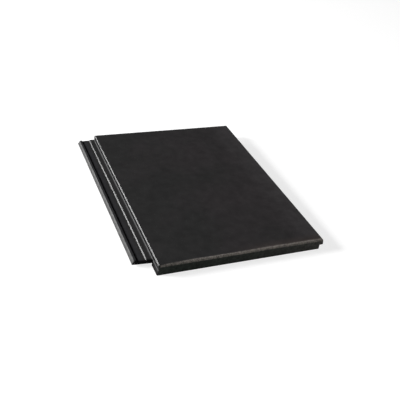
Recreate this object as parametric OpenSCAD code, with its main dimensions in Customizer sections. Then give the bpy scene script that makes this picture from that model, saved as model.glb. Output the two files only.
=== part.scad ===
// Flat interlocking roof tile: one fired piece with a plain face, a rounded front nose,
// a side lip that laps over the under-lock of the next tile, and nibs that hang it on a batten.
// It lies face up with its front edge towards -Y, its lip towards +X and its head towards +Y.

/* [Plate] */
// Length from the front edge to the head
tile_l = 420; // [300:5:500]
// Laying width, from one tile's left side to the next one's
cover_w = 300; // [220:5:360]
// Thickness of the plate behind the nose
plate_t = 12; // [11:0.5:15]
// Radius of the lip's top edge and the head's edge
edge_r = 1.5; // [0.5:0.25:2.5]
// Size of the bevel along the face's left edge
side_bevel = 1.5; // [1:0.25:3.5]

/* [Nose] */
// Height of the nose, underside to face
nose_h = 20; // [18:0.5:28]
// Depth of the nose, front to back
nose_d = 27; // [20:1:40]
// Radius of the nose's front edge at the face
front_r = 4; // [2:0.5:6]
// Radius of the nose's upright left corner
corner_r = 2.5; // [1:0.25:4]
// Radius of the nose's lower front edge
arris_r = 1; // [0.5:0.25:2]
// How far the nose's left end spreads below the level of the lip's foot
nose_flare = 1.6; // [0.2:0.2:3]

/* [Side lip] */
// Gap between the lip's foot and the side of the next tile
side_gap = 1; // [0.5:0.25:3]
// How far the lip's foot stands out beyond its top edge
lip_flare = 1.5; // [0:0.25:3]
// Height of the lip at the nose
lip_h = 10.5; // [9.5:0.5:12]
// How far the lip overhangs the nose's right end
lip_reach = 6.5; // [4:0.5:12]

/* [Under-lock] */
// How far the lock stands out from the plate's left side
lock_w = 33.4; // [30:0.2:45]
// Height of the lock's rim above its underside
lock_h = 6.7; // [5.5:0.1:8]
// Height of the lock's underside above the nose's underside
bearing_z = 3.5; // [2:0.25:5]
// How far the lock's outer face leans in from foot to rim
lock_lean = 3.8; // [0:0.2:5]
// Width of the rim along the lock's outer edge
rim_w = 4; // [2:0.1:6]
// Width of the water channel's floor
channel_w = 13.4; // [6:0.2:15]
// Depth of the water channel
channel_d = 1.5; // [0.6:0.1:2.4]
// Width of the channel's slope up to the rim
rim_slope_w = 1; // [0.4:0.2:3]
// Width of the channel's slope up to the inner rib
rib_slope_w = 1.6; // [1:0.2:3]
// Size of the cove where the lock meets the plate's side
cove = 0.5; // [0.25:0.25:2]
// Gap between the nose's back and the lock's front end, at the plate's side
lock_gap = 0.5; // [0.3:0.1:20]
// How much further back the lock's front end lies at its outer face
lock_skew = 2.6; // [0.2:0.2:6]
// Clearance above a lock, below the tile that laps over it
lock_clear = 0.8; // [0.5:0.1:2]
// Side play of a lock below the tile that laps over it, each way
lock_play = 0.8; // [0.2:0.1:2]

/* [Underside] */
// Width of a bearing rib at its foot
rib_w = 14; // [8:1:24]
// How far each side of a rib or nib spreads towards the plate
draft = 2; // [0.5:0.25:4]
// How far the nibs reach below the bearing ribs
nib_h = 10; // [6:0.5:16]
// Width of a nib at its foot
nib_w = 40; // [24:1:60]
// Depth of a nib at its foot, along the tile
nib_d = 14; // [10:1:24]
// Distance from the nibs' batten side to the head
nib_setback = 45; // [36:1:60]

/* [Hidden] */
$fn = 64;
over = 1;

lip_foot_x = cover_w - side_gap;
lip_top_x = lip_foot_x - lip_flare;
lip_z = nose_h - lip_h;
nose_w = lip_foot_x - lip_reach;
plate_z = nose_h - plate_t;

rim_z = bearing_z + lock_h;
channel_z = rim_z - channel_d;
lock_y = nose_d + lock_gap;
rim_in_x = -lock_w + lock_lean + rim_w;
channel_x = rim_in_x + rim_slope_w;
lock_rib_x = channel_x + channel_w + rib_slope_w;

bay_x = rib_w + draft;
wall_x = cover_w - lock_w - side_gap - rib_w;
mid_rib_x = (bay_x + wall_x - draft) / 2;
nib_z = bearing_z - nib_h;
nib_y = tile_l - nib_setback;
nib_xs = [
    (bay_x + mid_rib_x - rib_w / 2) / 2,
    (mid_rib_x + rib_w / 2 + wall_x - draft) / 2
];

origin = [(lip_foot_x - lock_w) / 2, tile_l / 2, min(0, nib_z)];

function lip_x(z) = lip_top_x + lip_flare * (nose_h - z) / lip_h;
function unit(v) = v / norm(v);

// Runs a section drawn in X and Z along the tile
module along(y0, y1) {
    translate([0, y1, 0])
        rotate([90, 0, 0])
            linear_extrude(y1 - y0)
                children();
}

// Runs a section drawn in Y and Z across the tile
module across(x0, x1) {
    translate([x0, 0, 0])
        rotate([90, 0, 90])
            linear_extrude(x1 - x0)
                children();
}

// What a radius takes off the corner at p, between the edges towards a and b
module corner_waste(p, a, b, r) {
    u = unit(a - p);
    v = unit(b - p);
    half = acos(u * v) / 2;
    reach = r / tan(half);
    centre = p + unit(u + v) * r / sin(half);
    difference() {
        polygon([p + u * reach, p - unit(u + v) * over, p + v * reach, centre]);
        translate(centre)
            circle(r);
    }
}

// What a bevel takes off the corner at p, between the edges towards a and b
module bevel_waste(p, a, b, size) {
    u = unit(a - p);
    v = unit(b - p);
    polygon([p + u * size, p - unit(u + v) * over, p + v * size]);
}

// The line of a lock's top, from its rim to its inner rib, closed down to the level foot_z
module lock_section(left_foot_x, left_top_x, right_x, foot_z) {
    polygon([
        [left_foot_x, foot_z],
        [left_top_x, rim_z],
        [rim_in_x, rim_z],
        [channel_x, channel_z],
        [channel_x + channel_w, channel_z],
        [lock_rib_x, rim_z],
        [right_x, rim_z],
        [right_x, foot_z]
    ]);
}

// The under-lock, with the cove at the plate's side
module under_lock() {
    lock_section(-lock_w, -lock_w + lock_lean, over, bearing_z);
    polygon([[-cove, rim_z], [over, rim_z], [over, rim_z + cove], [0, rim_z + cove]]);
}

// The lock along the plate's side, with its front end cut askew
module lock_body() {
    difference() {
        along(lock_y, tile_l)
            under_lock();
        linear_extrude(nose_h)
            polygon([
                [0, lock_y],
                [-2 * lock_w, lock_y + 2 * lock_skew],
                [-2 * lock_w, lock_y - over],
                [0, lock_y - over]
            ]);
    }
}

// The room that the next tile's under-lock takes below the lip
module over_lock_room() {
    for (play = [-lock_play, lock_play])
        translate([cover_w + play, lock_clear]) {
            wall = -lock_w - side_gap - play;
            lock_section(wall, wall, lock_w, -nose_h);
        }
}

// A rib or nib that spreads by the draft from its foot up to the plate
module drafted(x0, x1, foot_z) {
    polygon([[x0, foot_z], [x1, foot_z], [x1 + draft, plate_z + over], [x0 - draft, plate_z + over]]);
}

module plate_section() {
    polygon([[0, plate_z], [lip_x(plate_z), plate_z], [lip_top_x, nose_h], [0, nose_h]]);
}

module nose_section() {
    polygon([
        [0, lip_z],
        [-nose_flare, 0],
        [nose_w, 0],
        [nose_w, lip_z],
        [lip_foot_x, lip_z],
        [lip_top_x, nose_h],
        [0, nose_h]
    ]);
}

// The plate with its ribs and its over-lock, behind the nose
module plate_body() {
    along(nose_d - over, tile_l)
        difference() {
            union() {
                plate_section();
                polygon([[0, bearing_z], [rib_w, bearing_z], [bay_x, plate_z + over], [0, plate_z + over]]);
                drafted(mid_rib_x - rib_w / 2, mid_rib_x + rib_w / 2, bearing_z);
                drafted(wall_x, wall_x + rib_w, bearing_z);
            }
            over_lock_room();
        }
}

module nib(x) {
    intersection() {
        along(nib_y - over, nib_y + nib_d + 2 * draft)
            drafted(x - nib_w / 2, x + nib_w / 2, nib_z);
        across(x - nib_w, x + nib_w)
            polygon([
                [nib_y, nib_z],
                [nib_y + nib_d, nib_z],
                [nib_y + nib_d + draft, plate_z + over],
                [nib_y, plate_z + over]
            ]);
    }
}

// What the radius takes off the nose's left corner, drawn upright through the bend in its end
module upright_corner_waste() {
    translate([0, 0, -nose_h])
        linear_extrude(2 * nose_h)
            corner_waste([0, 0], [nose_w, 0], [0, nose_d], corner_r);
}

// The same with its lower half leaning like the end, mitred at the bend
module left_corner_waste() {
    lean = atan(nose_flare / lip_z);
    room = 2 * nose_h;
    translate([0, 0, lip_z]) {
        intersection() {
            upright_corner_waste();
            rotate([0, lean / 2, 0])
                translate([-nose_h, -nose_h, 0])
                    cube(room);
        }
        intersection() {
            rotate([0, lean, 0])
                upright_corner_waste();
            rotate([0, lean / 2, 0])
                translate([-nose_h, -nose_h, -room])
                    cube(room);
        }
    }
}

// What the rounded and bevelled edges take off the finished outline
module edge_waste() {
    side_top = [0, nose_h];
    lip_top = [lip_top_x, nose_h];
    along(-over, tile_l + over) {
        bevel_waste(side_top, [0, 0], lip_top, side_bevel);
        corner_waste(lip_top, [lip_foot_x, lip_z], side_top, edge_r);
    }
    across(-lock_w - over, cover_w + over) {
        corner_waste([0, nose_h], [0, 0], [tile_l, nose_h], front_r);
        corner_waste([tile_l, nose_h], [tile_l, 0], [0, nose_h], edge_r);
        corner_waste([0, 0], [0, nose_h], [nose_d, 0], arris_r);
    }
    left_corner_waste();
}

module tile() {
    color("#2b2b2c")
        translate(-origin)
            difference() {
                union() {
                    along(0, nose_d)
                        nose_section();
                    plate_body();
                    lock_body();
                    for (x = nib_xs)
                        nib(x);
                }
                edge_waste();
            }
}

tile();
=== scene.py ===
"""The looks of a flat interlocking roof tile: its fired surface, its matt dark finish and a plain studio."""

import math
from types import SimpleNamespace
from typing import NamedTuple

import bmesh
import bpy
import numpy as np
from mathutils import Matrix, Vector, noise


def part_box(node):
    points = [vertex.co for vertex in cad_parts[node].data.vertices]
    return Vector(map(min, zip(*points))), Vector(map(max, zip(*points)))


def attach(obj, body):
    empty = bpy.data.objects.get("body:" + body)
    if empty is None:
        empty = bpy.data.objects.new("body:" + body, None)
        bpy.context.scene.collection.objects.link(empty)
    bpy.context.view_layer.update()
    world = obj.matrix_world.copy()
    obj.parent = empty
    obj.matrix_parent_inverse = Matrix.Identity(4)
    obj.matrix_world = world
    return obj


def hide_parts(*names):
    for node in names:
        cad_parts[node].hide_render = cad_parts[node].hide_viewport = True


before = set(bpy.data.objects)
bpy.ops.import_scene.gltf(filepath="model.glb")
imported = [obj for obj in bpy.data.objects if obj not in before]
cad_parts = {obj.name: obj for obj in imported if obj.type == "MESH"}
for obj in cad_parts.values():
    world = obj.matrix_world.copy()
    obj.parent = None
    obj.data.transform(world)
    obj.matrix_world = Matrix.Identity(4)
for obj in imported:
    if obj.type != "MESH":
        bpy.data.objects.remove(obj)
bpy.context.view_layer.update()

MM = 0.001
X, Y, Z = Vector((1, 0, 0)), Vector((0, 1, 0)), Vector((0, 0, 1))

# Sizes of the tile, as in its CAD source
FRONT_RADIUS = 4.0 * MM
EDGE_RADIUS = 1.5 * MM
LIP_FLARE = 1.5 * MM
LIP_HEIGHT = 10.5 * MM
LOCK_WIDTH = 33.4 * MM
LOCK_LEAN = 3.8 * MM
LOCK_START = 27.5 * MM
LOCK_SKEW = 2.6 * MM
RIM_WIDTH = 4.0 * MM
RIM_LEVEL = 10.2 * MM
BEND_LEVEL = 9.5 * MM
NOSE_HEIGHT = 20.0 * MM
NIB_SETBACK = 45.0 * MM

# Places of its edges and levels
tile_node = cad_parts["tile"]
tile_low, tile_high = (Vector(corner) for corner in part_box("tile"))
FACE_Z = tile_high.z
FRONT_Y = tile_low.y
HEAD_Y = tile_high.y
SIDE_X = tile_low.x + LOCK_WIDTH
RIM_X = tile_low.x + LOCK_LEAN + RIM_WIDTH
LIP_TOP_X = tile_high.x - LIP_FLARE
NOSE_FOOT_Z = FACE_Z - NOSE_HEIGHT
RIM_Z = NOSE_FOOT_Z + RIM_LEVEL
NIB_Y = HEAD_Y - NIB_SETBACK


# Shape

# Fineness of the modelled surface
ARRIS = 0.45 * MM
ARRIS_SEGMENTS = 2
SHARP_ANGLE = math.radians(15)
FLAT_ANGLE = math.radians(1)
ROUND_STEPS = 8
CHORD_SLACK = 0.13 * MM
GRID_X = 2.2 * MM
GRID_Y = 2.4 * MM
GRID_Z = 2.0 * MM

# How near two points count as one, and how near a cutting plane a point counts as on it
TOUCHING = 1e-6
ON_PLANE = 1e-7

# Unevenness of the fired surface: height and length of its waves, and the seed that fixes them
WAVES = ((0.08 * MM, 55 * MM), (0.02 * MM, 14 * MM))
WAVE_SEED = 7


class Round(NamedTuple):
    """A rounded edge: a point on its axis, the axis, the outward ways of its two faces, and its radius."""
    centre: Vector
    along: Vector
    side: Vector
    top: Vector
    radius: float


def rounded_edges():
    """The rounded edges of the face: at the front, at the head and along the lip."""
    flare = math.hypot(LIP_HEIGHT, LIP_FLARE)
    lip_out = (X * LIP_HEIGHT + Z * LIP_FLARE) / flare
    lip_axis_x = LIP_TOP_X - EDGE_RADIUS * (flare - LIP_FLARE) / LIP_HEIGHT
    level = FACE_Z - EDGE_RADIUS
    return (
        Round(Vector((0, FRONT_Y + FRONT_RADIUS, FACE_Z - FRONT_RADIUS)), X, -Y, Z, FRONT_RADIUS),
        Round(Vector((0, HEAD_Y - EDGE_RADIUS, level)), X, Y, Z, EDGE_RADIUS),
        Round(Vector((lip_axis_x, 0, level)), Y, lip_out, Z, EDGE_RADIUS),
    )


def on_round(face, edge):
    """Whether a whole facet lies on the rounded stretch of an edge."""
    for v in face.verts:
        arm = v.co - edge.centre
        sideways, upwards = arm.dot(edge.side), arm.dot(edge.top)
        off_radius = abs(math.hypot(sideways, upwards) - edge.radius)
        if sideways <= -TOUCHING or upwards <= -TOUCHING or off_radius >= CHORD_SLACK:
            return False
    return True


def sharp_edges(bm, rounds):
    """The edges that get a soft arris: those with a clear bend, off the rounded stretches."""
    return [e for e in bm.edges if e.calc_face_angle(0) > SHARP_ANGLE
            and not any(on_round(f, edge) for f in e.link_faces for edge in rounds)]


def refine_round(bm, edge):
    """Cuts a rounded edge into fine strips and sets them on the true radius."""
    strips = [f for f in bm.faces if on_round(f, edge)]
    spread_angle = math.acos(edge.side.dot(edge.top))
    for i in range(1, ROUND_STEPS):
        turn = spread_angle * i / ROUND_STEPS
        spoke = edge.side * math.sin(spread_angle - turn) + edge.top * math.sin(turn)
        edges = list(dict.fromkeys(e for f in strips for e in f.edges))
        verts = list(dict.fromkeys(v for f in strips for v in f.verts))
        cut = bmesh.ops.bisect_plane(bm, geom=verts + edges + strips, dist=ON_PLANE,
                                     plane_co=edge.centre, plane_no=spoke.normalized().cross(edge.along))
        strips = [g for g in cut["geom"] if isinstance(g, bmesh.types.BMFace)]
    for v in dict.fromkeys(v for f in strips for v in f.verts):
        arm = v.co - edge.centre
        radial = arm - edge.along * arm.dot(edge.along)
        v.co += radial.normalized() * (edge.radius - radial.length)


def cut_grid(bm, axis, low, high, step):
    """Cuts the whole surface with evenly spaced planes square to one axis."""
    count = round((high - low) / step)
    for i in range(1, count):
        point = axis * (low + (high - low) * i / count)
        geometry = bm.verts[:] + bm.edges[:] + bm.faces[:]
        bmesh.ops.bisect_plane(bm, geom=geometry, dist=ON_PLANE, plane_co=point, plane_no=axis)


def roughen(bm):
    """Gives the faces and edges the slight waves of a fired piece."""
    noise.seed_set(WAVE_SEED)
    for v in bm.verts:
        start = v.co.copy()
        for height, length in WAVES:
            v.co += height * noise.noise_vector(start / length)


def fired_surface(source):
    """A fine mesh of the tile, with true rounds, soft arrises and the unevenness of fired clay."""
    bm = bmesh.new()
    bm.from_mesh(source)
    bmesh.ops.remove_doubles(bm, verts=bm.verts, dist=TOUCHING)
    bmesh.ops.dissolve_limit(bm, angle_limit=FLAT_ANGLE, verts=bm.verts, edges=bm.edges)
    rounds = rounded_edges()
    bmesh.ops.bevel(bm, geom=sharp_edges(bm, rounds), offset=ARRIS, offset_type="OFFSET",
                    segments=ARRIS_SEGMENTS, profile=0.5, affect="EDGES", clamp_overlap=True)
    for edge in rounds:
        refine_round(bm, edge)
    cut_grid(bm, X, tile_low.x, tile_high.x, GRID_X)
    cut_grid(bm, Y, tile_low.y, tile_high.y, GRID_Y)
    cut_grid(bm, Z, tile_low.z, tile_high.z, GRID_Z)
    roughen(bm)
    mesh = bpy.data.meshes.new("roof_tile")
    bm.to_mesh(mesh)
    bm.free()
    mesh.shade_smooth()
    return mesh


# Marks on the surface, with painted shade and painted highlights

# A pair gives the two ends of a fade. Shares are of the face's width, from its left side.
# Facing is how squarely a surface looks a way: 1 is straight at it and -1 straight away.

# The nose's marks reach this far back, and the lock's and the plate's begin there
NOSE_MARKS_DEPTH = 20.0 * MM

# The worn band round the front edge: how far down the bend it starts and ends, in degrees, by share
WORN_SHARES = (0.0, 0.06, 0.2, 0.5, 0.65, 0.82, 1.0)
WORN_UPPER = (38, 23, 6, 7, -3, 1, -2)
WORN_LOWER = (86, 83, 83, 80, 72, 79, 79)
WORN_UPPER_FADE = (-20, 30)
WORN_LOWER_FADE = (-10, 10)
WORN_FROM_SIDE = (1.5 * MM, 5.0 * MM)
WORN_WEAKENING = (0.5, 1.0)
WORN_STRENGTH = (1.0, 0.80)

# Painted shade: darkening at the lock's front end, on the plate's side and in the groove beside the rim
LOCK_END_SHADE = 0.93
LOCK_END_DEPTH = (1.5 * MM, 4.0 * MM)
LOCK_END_FROM_SIDE = 0.3 * MM
PLATE_SIDE_SHADE = 0.7
PLATE_SIDE_REACH = 2.0 * MM
PLATE_SIDE_FACING = (0.85, 0.95)
# Painted shade in the groove beside the rim, where the rim's shadow falls
GROOVE_START = (-0.9 * MM, 0.0)
GROOVE_END = (1.8 * MM, 3.6 * MM)

# Painted shade on the nose's left end, by height above its foot: none along the bend in the end
NOSE_END_HEIGHTS = (0.0, 3.0 * MM, 7.5 * MM, BEND_LEVEL, 11.5 * MM, 18.0 * MM)
NOSE_END_SHADE = (0.85, 0.6, 0.4, 0.0, 0.4, 0.3)
NOSE_END_REACH = 1.0 * MM
NOSE_END_FACING = (0.6, 0.9)

# Painted highlights: pale lines along the bend in the nose's left end, and in the cove where the lock meets
# the plate's side
CREASE_HIGHLIGHT = 0.8
CREASE_HALF_WIDTH = (0.5 * MM, 2.2 * MM)
COVE_START = (-1.2 * MM, -0.3 * MM)
COVE_END = 0.5 * MM
COVE_TOP = (0.8 * MM, 2.0 * MM)
COVE_FACING = (-0.2, 0.0)

# The bare outer face of the lock, with a painted highlight that makes it paler towards the rim's arris
BARE_REACH = 1.4 * LOCK_LEAN
BARE_FACING = (0.6, 0.85)
BARE_TOP = (-1.2 * MM, 0.0)
PALE_ARRIS = (-3.2 * MM, -0.8 * MM)

# Other tones of the face, the lock, the front and the underside
LOCK_FLOOR_END = (8.0 * MM, 12.0 * MM)
PALE_SIDE_SHARES = (0.80, 1.0)
DUSTY_FRONT_SHARES = (0.35, 0.75)
DUSTY_FRONT_DEPTH = (4.0 * MM, 22.0 * MM)
BROWN_FRONT_SHARES = (0.25, 0.5, 0.8, 1.0)
BROWN_FRONT = (0.0, 0.17, 0.5, 1.0)
FRONT_FACING = (0.75, 0.95)
UNDERSIDE_FACING = (0.2, 0.8)


def rise(values, low, high):
    """0 below low, 1 above high, with a smooth rise between."""
    t = np.clip((values - low) / (high - low), 0, 1)
    return t * t * (3 - 2 * t)


def fall(values, low, high):
    """1 below low, 0 above high, with a smooth fall between."""
    return 1 - rise(values, low, high)


def lock_front(x):
    """How far back the lock's front end lies at x."""
    return FRONT_Y + LOCK_START + LOCK_SKEW * (SIDE_X - x) / LOCK_WIDTH


def surface_points(mesh):
    """Where each vertex lies, which way it faces, and its share of the face's width."""
    count = len(mesh.vertices)
    place, facing = np.empty(count * 3), np.empty(count * 3)
    mesh.vertices.foreach_get("co", place)
    mesh.vertices.foreach_get("normal", facing)
    x, y, z = place.reshape(-1, 3).T
    out_x, out_y, out_z = facing.reshape(-1, 3).T
    share = (x - SIDE_X) / (LIP_TOP_X - SIDE_X)
    behind_nose = y > FRONT_Y + NOSE_MARKS_DEPTH
    return SimpleNamespace(x=x, y=y, z=z, out_x=out_x, out_y=out_y, out_z=out_z,
                           share=share, behind_nose=behind_nose)


def worn_band(at):
    """The worn band round the front edge, weaker towards the right."""
    bend = np.degrees(np.arctan2(FRONT_Y + FRONT_RADIUS - at.y, at.z - FACE_Z + FRONT_RADIUS))
    upper, lower = (np.interp(at.share, WORN_SHARES, bends) for bends in (WORN_UPPER, WORN_LOWER))
    worn = rise(bend - upper, *WORN_UPPER_FADE) * fall(bend - lower, *WORN_LOWER_FADE)
    worn *= rise(at.x - SIDE_X, *WORN_FROM_SIDE)
    return worn * np.interp(at.share, WORN_WEAKENING, WORN_STRENGTH)


def lock_end_shade(at):
    """Painted shade on the lock's front end and the strip behind it."""
    on_lock = (at.x < SIDE_X - LOCK_END_FROM_SIDE) & at.behind_nose
    # painted shade on the lock's front end and the strip behind it
    return LOCK_END_SHADE * fall(at.y - lock_front(at.x), *LOCK_END_DEPTH) * on_lock


def nose_left_end(at):
    """1 on the nose's left end, 0 elsewhere."""
    on_nose = (at.x < SIDE_X + NOSE_END_REACH) & ~at.behind_nose
    return rise(-at.out_x, *NOSE_END_FACING) * on_nose


def painted_shade(at):
    """All the painted shade, taking the strongest where two kinds meet."""
    by_plate = (abs(at.x - SIDE_X) < PLATE_SIDE_REACH) & at.behind_nose
    # painted shade on the plate's upright left side
    plate_side = PLATE_SIDE_SHADE * rise(-at.out_x, *PLATE_SIDE_FACING) * by_plate
    # painted shade on the nose's left end, darkest at its foot
    nose_end = nose_left_end(at) * np.interp(at.z - NOSE_FOOT_Z, NOSE_END_HEIGHTS, NOSE_END_SHADE)
    # painted shade in the groove beside the rim
    groove = rise(at.x - RIM_X, *GROOVE_START) * fall(at.x - RIM_X, *GROOVE_END)
    return np.maximum.reduce((lock_end_shade(at), plate_side, nose_end, groove))


def painted_highlight(at):
    """Painted highlights in the cove and along the bend in the nose's left end."""
    by_plate = (at.x < SIDE_X + COVE_END) & at.behind_nose
    # painted highlight in the cove, in place of its lit rounding
    cove = rise(at.x - SIDE_X, *COVE_START) * fall(at.z - RIM_Z, *COVE_TOP) * rise(at.out_z, *COVE_FACING)
    cove *= by_plate * (1 - lock_end_shade(at))
    off_bend = abs(at.z - NOSE_FOOT_Z - BEND_LEVEL)
    # painted highlight along the bend in the nose's left end
    crease = CREASE_HIGHLIGHT * nose_left_end(at) * fall(off_bend, *CREASE_HALF_WIDTH)
    return np.maximum(cove, crease)


def bare_lock(at):
    """The lock's outer face, which is bare clay up to the rim."""
    outer = rise(-at.out_x, *BARE_FACING) * (at.x < tile_low.x + BARE_REACH)
    return outer * fall(at.z - RIM_Z, *BARE_TOP) * (1 - lock_end_shade(at))


def paint_zones(mesh):
    """Stores, vertex by vertex, how far each mark and tone applies, painted shade and highlights among them.
    """
    at = surface_points(mesh)
    zones = {
        "worn_front": worn_band(at),
        # painted shade
        "painted_shade_share": painted_shade(at),
        # painted highlights
        "painted_highlight_share": painted_highlight(at),
        "lock_floor": fall(at.x - RIM_X, *LOCK_FLOOR_END),
        "pale_side": rise(at.share, *PALE_SIDE_SHARES),
        "dusty_front": rise(at.share, *DUSTY_FRONT_SHARES) * fall(at.y - FRONT_Y, *DUSTY_FRONT_DEPTH),
        "brown_front": np.interp(at.share, BROWN_FRONT_SHARES, BROWN_FRONT),
        "bare_edge": bare_lock(at),
        "underside": rise(-at.out_z, *UNDERSIDE_FACING),
        # painted highlight near the rim's arris
        "arris_highlight_share": rise(at.z - RIM_Z, *PALE_ARRIS),
        "front_faces": rise(-at.out_y, *FRONT_FACING) * ~at.behind_nose,
    }
    for name, values in zones.items():
        mesh.attributes.new(name, "FLOAT", "POINT").data.foreach_set("value", values.astype(np.float32))


# Materials

# Colours of the clay, as linear reflectances
BROWN_BLACK = (0.0261, 0.0237, 0.0248, 1)
NEUTRAL_BLACK = (0.0213, 0.0211, 0.0212, 1)
PALE_BLACK = (0.0350, 0.0328, 0.0340, 1)
DUSTY_BLACK = (0.0350, 0.0298, 0.0284, 1)
LOCK_BLACK = (0.0246, 0.0246, 0.0264, 1)
FRONT_BLACK = (0.0350, 0.0410, 0.0360, 1)
FRONT_BROWN = (0.0800, 0.0780, 0.0725, 1)
WORN_FRONT = (0.300, 0.274, 0.247, 1)
BARE_CLAY = (0.080, 0.080, 0.079, 1)
# Painted highlight for the rim's arris
ARRIS_HIGHLIGHT = (0.246, 0.246, 0.242, 1)
UNDER_CLAY = (0.044, 0.042, 0.040, 1)
SAND = (0.060, 0.057, 0.053, 1)
# Painted shade: near black, blended in where shade falls
SHADE_PAINT = (0.0015, 0.0015, 0.0016, 1)
# Painted highlights: pale grey for the lit crease and cove
HIGHLIGHT_PAINT = (0.097, 0.097, 0.098, 1)

# How noise becomes a share or a shade: its low and high end, and what they turn into
BROWN_TINT = (0.35, 0.70)
CLOUD_SHADE = (0.25, 0.75, 0.82, 1.18)
FINE_SHADE = (0.25, 0.75, 0.80, 1.20)
MOTTLE_BLOTCH = (0.3, 0.7, 0.7, 1.3)
MOTTLE_FINE = (0.3, 0.7, 0.8, 1.2)
WORN_SPECKLE = (0.36, 0.56, 0.25, 1.0)
WORN_BLOTCH = (0.35, 0.60, 0.75, 1.1)
BARE_STREAK = (0.36, 0.60, 0.45, 1.0)
ROUGH_GRAIN = (0.3, 0.7)
ROUGH_SPREAD = 0.04

# Grains of sand in the engobe: one in a cell at most, in a few of the cells
SAND_CELL = 2.2 * MM
SAND_RADIUS = (0.22, 0.12)
SAND_PICK = (0.72, 0.80)

# Streaks on the bare lock are drawn out along the tile
STREAK_STRETCH = (1.0, 0.2, 1.0)

# Relief of the engobe, and of the coarser clay where it is worn, bare or underneath
FINE_RELIEF = 0.05 * MM
COARSE_RELIEF = 0.25 * MM
COARSE_STRENGTH = 0.6
COARSE_ROUGHNESS = 0.75

# A sheen lies on slopes that face left and up by this much: the face's left bevel and the channel's slope
SHEEN_LEAN = 0.35
SHEEN_RISE = 0.63
BEVEL_ABOVE_RIM = 5.0 * MM
BEVEL_FRONT_GAP = 2.5 * MM
SLOPE_FROM_SIDE = 3.0 * MM
SLOPE_FRONT_GAP = 3.0 * MM


def add(tree, kind, inputs=(), **settings):
    """A shader node with its settings, its values and the sockets that feed it."""
    node = tree.nodes.new(kind)
    for name, value in settings.items():
        setattr(node, name, value)
    for key, value in dict(inputs).items():
        if isinstance(value, bpy.types.NodeSocket):
            tree.links.new(value, node.inputs[key])
        else:
            node.inputs[key].default_value = value
    return node


def grain(tree, place, size, detail=3.0, roughness=0.55):
    """Noise whose spots are about size across."""
    return add(tree, "ShaderNodeTexNoise", {"Vector": place, "Scale": 1 / size, "Detail": detail,
                                            "Roughness": roughness}).outputs["Fac"]


def spread(tree, value, low, high, out_low=0.0, out_high=1.0):
    """Maps a value's range to another, clamped."""
    return add(tree, "ShaderNodeMapRange", {"Value": value, "From Min": low, "From Max": high,
                                            "To Min": out_low, "To Max": out_high}).outputs["Result"]


def reckon(tree, operation, a, b, clamp=False):
    """The sum, product or larger of two numbers, as the operation says."""
    return add(tree, "ShaderNodeMath", {0: a, 1: b}, operation=operation, use_clamp=clamp).outputs[0]


def times(tree, a, b):
    """The product of two numbers."""
    return reckon(tree, "MULTIPLY", a, b)


def blend(tree, share, a, b):
    """Colour a, and b by its share."""
    return add(tree, "ShaderNodeMix", {0: share, 6: a, 7: b}, data_type="RGBA").outputs[2]


def shaded(tree, colour, level):
    """A colour made darker or lighter by a level around 1."""
    return add(tree, "ShaderNodeHueSaturation", {"Color": colour, "Value": level}).outputs["Color"]


def zone(tree, name):
    """How far a stored mark applies."""
    return add(tree, "ShaderNodeAttribute", attribute_name=name).outputs["Fac"]


def clay_grains(tree, place):
    """The noises that vary the clay, from broad tints to fine grain."""
    drawn = add(tree, "ShaderNodeMapping", {"Vector": place, "Scale": STREAK_STRETCH}).outputs["Vector"]
    return SimpleNamespace(
        tint=grain(tree, place, 110 * MM, detail=2),
        cloud=grain(tree, place, 16 * MM, detail=5),
        blotch=grain(tree, place, 4 * MM, detail=2),
        streak=grain(tree, drawn, 1.8 * MM, detail=2),
        speckle=grain(tree, place, 1.7 * MM, roughness=0.65),
        fine=grain(tree, place, 0.8 * MM, roughness=0.7),
    )


def wear_shares(tree, grains):
    """How much clay shows: on the worn front, on the bare lock and underneath."""
    patchy = times(tree, spread(tree, grains.speckle, *WORN_SPECKLE),
                   spread(tree, grains.blotch, *WORN_BLOTCH))
    return SimpleNamespace(
        worn=times(tree, zone(tree, "worn_front"), patchy),
        bare=times(tree, zone(tree, "bare_edge"), spread(tree, grains.streak, *BARE_STREAK)),
        under=zone(tree, "underside"),
    )


def engobe_colour(tree, place, grains):
    """Dark engobe with clouds and sand, browner towards the right and paler at the side and front."""
    across = add(tree, "ShaderNodeSeparateXYZ", {"Vector": place}).outputs["X"]
    brown = spread(tree, reckon(tree, "ADD", across, grains.tint), *BROWN_TINT)
    engobe = blend(tree, brown, NEUTRAL_BLACK, BROWN_BLACK)
    engobe = blend(tree, zone(tree, "pale_side"), engobe, PALE_BLACK)
    engobe = blend(tree, zone(tree, "lock_floor"), engobe, LOCK_BLACK)
    engobe = blend(tree, zone(tree, "dusty_front"), engobe, DUSTY_BLACK)
    shade = times(tree, spread(tree, grains.cloud, *CLOUD_SHADE), spread(tree, grains.fine, *FINE_SHADE))
    cells = add(tree, "ShaderNodeTexVoronoi", {"Vector": place, "Scale": 1 / SAND_CELL})
    sand = times(tree, spread(tree, cells.outputs["Distance"], *SAND_RADIUS),
                 spread(tree, cells.outputs["Color"], *SAND_PICK))
    return blend(tree, sand, shaded(tree, engobe, shade), SAND)


def front_colour(tree, grains):
    """The mottled faces of the front, browner towards the right."""
    front = blend(tree, zone(tree, "brown_front"), FRONT_BLACK, FRONT_BROWN)
    mottle = times(tree, spread(tree, grains.blotch, *MOTTLE_BLOTCH),
                   spread(tree, grains.fine, *MOTTLE_FINE))
    return shaded(tree, front, mottle)


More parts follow.
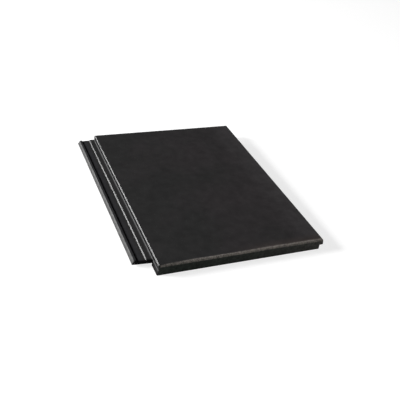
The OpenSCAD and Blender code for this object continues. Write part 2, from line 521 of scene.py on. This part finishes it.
def clay_colour(tree, place, grains, wear):
    """The engobe and the front, then painted shade and painted highlights, then the clay where it shows,
    with a painted highlight by the rim's arris.
    """
    # bare clay, with a painted highlight towards the rim's arris
    bare_clay_and_highlight = blend(tree, zone(tree, "arris_highlight_share"), BARE_CLAY, ARRIS_HIGHLIGHT)
    colour = engobe_colour(tree, place, grains)
    colour = blend(tree, zone(tree, "front_faces"), colour, front_colour(tree, grains))
    # painted shade
    colour = blend(tree, zone(tree, "painted_shade_share"), colour, SHADE_PAINT)
    # painted highlights
    colour = blend(tree, zone(tree, "painted_highlight_share"), colour, HIGHLIGHT_PAINT)
    colour = blend(tree, wear.under, colour, UNDER_CLAY)
    colour = blend(tree, wear.worn, colour, WORN_FRONT)
    return blend(tree, wear.bare, colour, bare_clay_and_highlight)


def clay_roughness(tree, grains, coarse, roughness):
    """The engobe's roughness, a little uneven, and the clay's where it is coarse."""
    smooth = spread(tree, grains.fine, *ROUGH_GRAIN, roughness - ROUGH_SPREAD, roughness + ROUGH_SPREAD)
    return add(tree, "ShaderNodeMix", {0: coarse, 2: smooth, 3: COARSE_ROUGHNESS}).outputs[0]


def clay_relief(tree, grains, coarse, strength):
    """Fine grain all over, and a coarser grain where the clay is coarse."""
    fine = add(tree, "ShaderNodeBump", {"Height": grains.fine, "Distance": FINE_RELIEF,
                                        "Strength": strength})
    both = add(tree, "ShaderNodeBump", {"Height": times(tree, coarse, grains.speckle),
                                        "Distance": COARSE_RELIEF, "Strength": COARSE_STRENGTH,
                                        "Normal": fine.outputs["Normal"]})
    return both.outputs["Normal"]


def fired_clay(name, gloss, roughness, relief):
    """Anthracite engobe on fired clay, worn along the front edge and bare on the lock's outer face."""
    material = bpy.data.materials.new(name)
    material.use_nodes = True
    tree = material.node_tree
    shader = tree.nodes["Principled BSDF"]
    place = add(tree, "ShaderNodeTexCoord").outputs["Object"]
    grains = clay_grains(tree, place)
    wear = wear_shares(tree, grains)
    coarse = reckon(tree, "ADD", reckon(tree, "ADD", wear.worn, wear.bare), wear.under, clamp=True)
    tree.links.new(clay_colour(tree, place, grains, wear), shader.inputs["Base Color"])
    tree.links.new(clay_roughness(tree, grains, coarse, roughness), shader.inputs["Roughness"])
    tree.links.new(clay_relief(tree, grains, coarse, relief), shader.inputs["Normal"])
    shader.inputs["Specular IOR Level"].default_value = gloss
    return material


def has_sheen(place, out):
    """Whether a facet lies on the face's left bevel or the channel's slope, off their front ends."""
    left_slope = out.x < -SHEEN_LEAN and out.z > SHEEN_RISE
    on_bevel = place.z > RIM_Z + BEVEL_ABOVE_RIM and place.y > FRONT_Y + BEVEL_FRONT_GAP
    on_slope = place.x < SIDE_X - SLOPE_FROM_SIDE and place.y > lock_front(place.x) + SLOPE_FRONT_GAP
    return left_slope and (on_bevel or on_slope)


def make_tile():
    """The visible tile, matt all over but for the slopes with a sheen, and evenly shaded on its flats."""
    piece = bpy.data.objects.new("roof_tile", fired_surface(tile_node.data))
    bpy.context.scene.collection.objects.link(piece)
    paint_zones(piece.data)
    piece.data.materials.append(fired_clay("matt_engobe", gloss=0.03, roughness=0.6, relief=0.25))
    piece.data.materials.append(fired_clay("pressed_engobe", gloss=0.42, roughness=0.40, relief=0.08))
    for polygon in piece.data.polygons:
        polygon.material_index = 1 if has_sheen(polygon.center, polygon.normal) else 0
    even_faces = piece.modifiers.new("even_faces", "WEIGHTED_NORMAL")
    even_faces.mode = "FACE_AREA"
    even_faces.weight = 100
    return piece


tile = make_tile()
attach(tile, "root")
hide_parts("tile")


# Studio

WHITE = (1, 1, 1, 1)
FLOOR_HALF = 8.0
FLOOR_COLOUR = (0.37, 0.37, 0.37, 1)
FLOOR_ROUGHNESS = 0.9
FLOOR_GLOW = 0.75

# The surrounding light is full at the horizon and fades to this level at this height
OVERHEAD_LEVEL = 0.04
OVERHEAD_HEIGHT = 0.12

# Lamps: name, azimuth and elevation in degrees, distance and size in metres, power in watts
LAMPS = (
    ("key", -72, 23, 5.0, (1.6, 1.2), 472),
    ("rim", -40.5, 17.5, 4.0, (0.9, 0.9), 74),
    ("fill", 150, 48, 2.2, (1.2, 1.2), 7),
)

# Camera at the photograph's angle
CAMERA_AIM = Vector((-0.00293, -0.05411, 0.0265))
CAMERA_DISTANCE = 1.10652
CAMERA_AZIMUTH = 26.173
CAMERA_ELEVATION = -33.714
CAMERA_ROLL = math.radians(8.261)
CAMERA_FIELD = math.radians(36.1006)


def seen_directly(tree):
    """1 for rays that show the background: from the camera, a reflection or a transparent body."""
    path = add(tree, "ShaderNodeLightPath").outputs
    seen = reckon(tree, "MAXIMUM", path["Is Camera Ray"], path["Is Glossy Ray"])
    return reckon(tree, "MAXIMUM", seen, path["Is Transmission Ray"])


def floor_paint():
    """Matt grey paint that shows as white, and still darkens in the tile's shadow."""
    material = bpy.data.materials.new("floor")
    material.use_nodes = True
    tree = material.node_tree
    paint = tree.nodes["Principled BSDF"]
    paint.inputs["Base Color"].default_value = FLOOR_COLOUR
    paint.inputs["Roughness"].default_value = FLOOR_ROUGHNESS
    paint.inputs["Specular IOR Level"].default_value = 0.0
    paint.inputs["Emission Color"].default_value = WHITE
    glow = times(tree, seen_directly(tree), FLOOR_GLOW)
    tree.links.new(glow, paint.inputs["Emission Strength"])
    return material


def add_floor():
    """A pale floor under the nose's front edge and the nibs, on which the tile lies."""
    lean = math.atan2(NOSE_FOOT_Z, NIB_Y - FRONT_Y)
    mesh = bpy.data.meshes.new("floor")
    corners = [(-FLOOR_HALF, -FLOOR_HALF, 0), (FLOOR_HALF, -FLOOR_HALF, 0),
               (FLOOR_HALF, FLOOR_HALF, 0), (-FLOOR_HALF, FLOOR_HALF, 0)]
    mesh.from_pydata(corners, [], [(0, 1, 2, 3)])
    floor = bpy.data.objects.new("floor", mesh)
    floor.matrix_world = Matrix.Translation((0, NIB_Y, 0)) @ Matrix.Rotation(-lean, 4, "X")
    bpy.context.scene.collection.objects.link(floor)
    floor.data.materials.append(floor_paint())


def direction(azimuth, elevation):
    """Unit vector for a bearing in degrees: azimuth 0 is +Y and 90 is +X."""
    bearing, height = math.radians(azimuth), math.radians(elevation)
    level = math.cos(height)
    return Vector((math.sin(bearing) * level, math.cos(bearing) * level, math.sin(height)))


def softbox(name, azimuth, elevation, distance, size, power):
    """A rectangular lamp that faces the tile."""
    lamp = bpy.data.lights.new(name, "AREA")
    lamp.shape = "RECTANGLE"
    lamp.size, lamp.size_y = size
    lamp.energy = power
    towards = direction(azimuth, elevation)
    box = bpy.data.objects.new(name, lamp)
    box.location = towards * distance
    box.rotation_euler = towards.to_track_quat("Z", "Y").to_euler()
    bpy.context.scene.collection.objects.link(box)


def add_world():
    """A studio that is white at the horizon and dim overhead."""
    world = bpy.data.worlds.new("studio")
    world.use_nodes = True
    tree = world.node_tree
    background = tree.nodes["Background"]
    way = add(tree, "ShaderNodeTexCoord").outputs["Generated"]
    height = add(tree, "ShaderNodeSeparateXYZ", {"Vector": way}).outputs["Z"]
    level = spread(tree, height, 0.0, OVERHEAD_HEIGHT, 1.0, OVERHEAD_LEVEL)
    tree.links.new(level, background.inputs["Strength"])
    background.inputs["Color"].default_value = WHITE
    bpy.context.scene.world = world


def add_camera():
    """The camera, rolled and placed as the photograph was taken."""
    forward = direction(CAMERA_AZIMUTH, CAMERA_ELEVATION)
    level_right = forward.cross(Z).normalized()
    level_up = level_right.cross(forward)
    right = level_right * math.cos(CAMERA_ROLL) + level_up * math.sin(CAMERA_ROLL)
    camera = bpy.data.objects.new("camera", bpy.data.cameras.new("camera"))
    camera.data.sensor_fit = "HORIZONTAL"
    camera.data.angle = CAMERA_FIELD
    turn = Matrix((right, right.cross(forward), -forward)).transposed()
    camera.matrix_world = Matrix.Translation(CAMERA_AIM - forward * CAMERA_DISTANCE) @ turn.to_4x4()
    bpy.context.scene.collection.objects.link(camera)
    bpy.context.scene.camera = camera


add_floor()
for lamp_facts in LAMPS:
    softbox(*lamp_facts)
add_world()
add_camera()
bpy.context.scene.view_settings.view_transform = "Standard"
